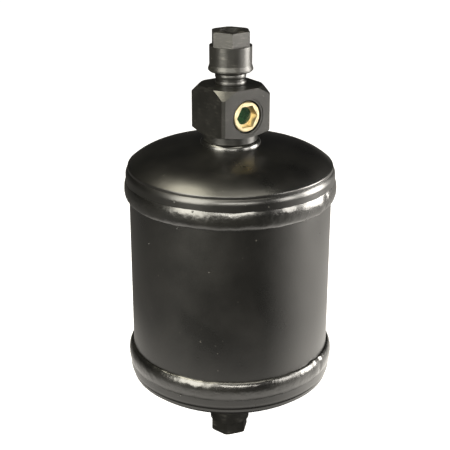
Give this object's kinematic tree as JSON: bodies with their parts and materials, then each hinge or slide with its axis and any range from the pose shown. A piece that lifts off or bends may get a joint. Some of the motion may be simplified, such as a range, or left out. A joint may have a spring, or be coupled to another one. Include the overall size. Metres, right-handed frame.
{
  "type": "filter drier",
  "caption": "Welded steel filter drier canister with a square head block, side sight glass, threaded ports at both ends and screw-on hex dust caps.",
  "frame": {"origin": "on the canister's axis at mid-shell, the middle of the stretch that a clamp band holds", "axes": "+Z along the axis towards the head block, -Y towards the sight glass"},
  "size_m": [0.1066, 0.1066, 0.2183],
  "materials": {
    "black_paint": "satin",
    "weld_paint": "semi-gloss",
    "block_paint": "satin",
    "sight_brass": "machined",
    "sight_glass": "polished",
    "seal_rubber": "matte",
    "indicator_paper": "matte",
    "cap_plastic": "satin",
    "bare_steel": "plain",
    "filter_felt": "felt",
    "desiccant": "matte beads"
  },
  "bodies": {
    "canister": {"shell_tube": "black_paint", "top_end_cap": "black_paint", "bottom_end_cap": "black_paint", "top_seam_weld": "weld_paint", "bottom_seam_weld": "weld_paint", "port_block": "block_paint", "port_block_weld": "weld_paint", "lower_port": "block_paint", "lower_port_weld": "weld_paint", "sight_glass_body": "sight_brass", "sight_glass_lens": "sight_glass", "sight_glass_seal": "seal_rubber", "moisture_indicator": "indicator_paper", "lower_plate": "bare_steel", "outlet_screen": "bare_steel", "lower_filter_pad": "filter_felt", "desiccant_bed": "desiccant", "upper_filter_pad": "filter_felt", "upper_plate": "bare_steel", "hold_down_spring": "bare_steel"},
    "upper_seal_disc": {"upper_cap_seal": "seal_rubber"},
    "upper_cap": {"upper_dust_cap": "cap_plastic"},
    "lower_seal_disc": {"lower_cap_seal": "seal_rubber"},
    "lower_cap": {"lower_dust_cap": "cap_plastic"}
  },
  "joints": [
    {"name": "upper_cap_rise", "type": "slide", "parent": "canister", "child": "upper_seal_disc", "axis": [0, 0, 1], "range_m": [0, 0.00932]},
    {"name": "upper_cap_turn", "type": "hinge", "parent": "upper_seal_disc", "child": "upper_cap", "pos_m": [0, 0, 0.1137], "axis": [0, 0, 1], "range_deg": [0, 2376]},
    {"name": "lower_cap_rise", "type": "slide", "parent": "canister", "child": "lower_seal_disc", "axis": [0, 0, -1], "range_m": [0, 0.00932]},
    {"name": "lower_cap_turn", "type": "hinge", "parent": "lower_seal_disc", "child": "lower_cap", "pos_m": [0, 0, -0.0865], "axis": [0, 0, -1], "range_deg": [0, 2376]}
  ],
  "couplings": [
    {"joint": "upper_cap_rise", "follows": "upper_cap_turn", "m_per_rad": 0.00022459},
    {"joint": "lower_cap_rise", "follows": "lower_cap_turn", "m_per_rad": 0.00022459}
  ]
}
